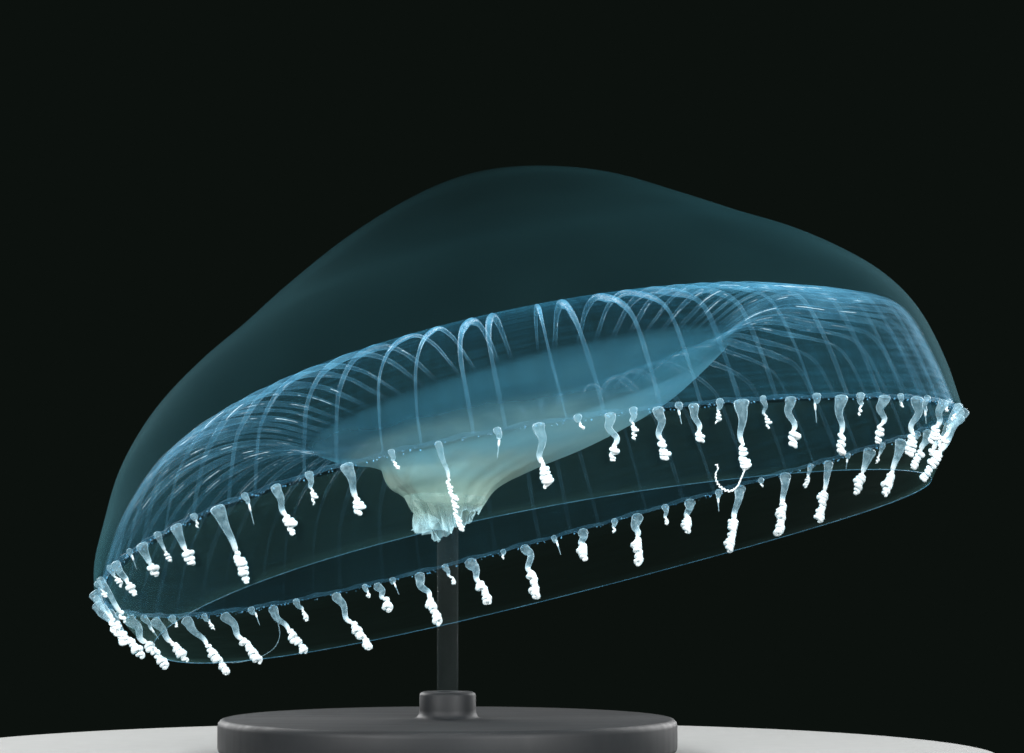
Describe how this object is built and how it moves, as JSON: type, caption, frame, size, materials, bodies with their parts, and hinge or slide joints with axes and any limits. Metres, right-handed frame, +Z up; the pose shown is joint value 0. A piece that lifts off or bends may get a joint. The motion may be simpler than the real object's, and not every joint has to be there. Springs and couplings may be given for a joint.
{
  "type": "jellyfish",
  "caption": "Clear jellyfish with a thick lens-shaped bell, fine radial canals, a small frilled mouth and short coiled tentacles round the rim, banked on a small display stand.",
  "frame": {"origin": "centre of the underside of the stand's round base, which rests on the floor", "axes": "+Z up along the stand's rod; +X towards the high side of the bell; +Y towards the back of the bell, which leans down; the front edge is raised"},
  "size_m": [0.1, 0.1014, 0.0667],
  "materials": {
    "stand_base": "satin black acrylic",
    "stand_rod": "polished clear acrylic",
    "jelly": "wet clear jelly, glassy and a little milky",
    "velum": "thin clear skin with a brighter free edge",
    "canals": "fine milky blue-white lines",
    "stomach": "soft milky blue tissue",
    "lips": "soft pale cream tissue",
    "tentacles": "milky white with a bright wet surface"
  },
  "bodies": {
    "root": {"stand_base": "stand_base", "stand_rod": "stand_rod", "bell_crown": "jelly", "bell_quadrant_1": "jelly", "bell_quadrant_2": "jelly", "bell_quadrant_3": "jelly", "bell_quadrant_4": "jelly", "tentacle_01": "tentacles", "tentacle_02": "tentacles", "tentacle_03": "tentacles", "tentacle_04": "tentacles", "tentacle_05": "tentacles", "tentacle_06": "tentacles", "tentacle_07": "tentacles", "tentacle_08": "tentacles", "tentacle_09": "tentacles", "tentacle_10": "tentacles", "tentacle_11": "tentacles", "tentacle_12": "tentacles", "tentacle_13": "tentacles", "tentacle_14": "tentacles", "tentacle_15": "tentacles", "tentacle_16": "tentacles", "tentacle_17": "tentacles", "tentacle_18": "tentacles", "tentacle_19": "tentacles", "tentacle_20": "tentacles", "tentacle_21": "tentacles", "tentacle_22": "tentacles", "tentacle_23": "tentacles", "tentacle_24": "tentacles", "tentacle_25": "tentacles", "tentacle_26": "tentacles", "tentacle_27": "tentacles", "tentacle_28": "tentacles", "tentacle_29": "tentacles", "tentacle_30": "tentacles", "tentacle_31": "tentacles", "tentacle_32": "tentacles", "tentacle_33": "tentacles", "tentacle_34": "tentacles", "tentacle_35": "tentacles", "tentacle_36": "tentacles", "tentacle_37": "tentacles", "tentacle_38": "tentacles", "tentacle_39": "tentacles", "tentacle_40": "tentacles", "tentacle_41": "tentacles", "tentacle_42": "tentacles", "tentacle_43": "tentacles", "tentacle_44": "tentacles", "canals_quadrant_1": "canals", "canals_quadrant_2": "canals", "canals_quadrant_3": "canals", "canals_quadrant_4": "canals", "velum": "velum", "stomach": "stomach", "manubrium": "stomach", "mouth_lips": "lips"}
  },
  "joints": []
}
